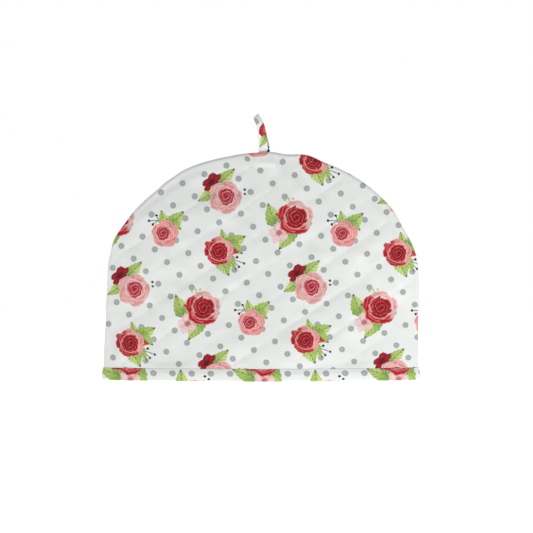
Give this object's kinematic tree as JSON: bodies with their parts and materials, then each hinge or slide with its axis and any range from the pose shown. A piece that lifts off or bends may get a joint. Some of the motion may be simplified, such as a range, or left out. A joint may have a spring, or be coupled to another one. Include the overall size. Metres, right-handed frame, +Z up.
{
  "type": "tea cosy",
  "caption": "Quilted cotton tea cosy with an arched outline, a bound hem round its open mouth and a tape loop at the top.",
  "frame": {"origin": "middle of the mouth, on the surface that the hem rests on", "axes": "+Z up, +X to the right of someone who faces the front panel, +Y towards the back panel"},
  "size_m": [0.353, 0.108, 0.2958],
  "materials": {
    "printed_cotton": "matte quilted cotton with a rose and dot print on white",
    "binding_cotton": "matte cotton of the same print, cut on the bias",
    "loop_cotton": "matte cotton tape of the same print"
  },
  "bodies": {
    "root": {"panel_front": "printed_cotton", "panel_back": "printed_cotton", "hem_binding": "binding_cotton", "hanging_loop": "loop_cotton"}
  },
  "joints": []
}
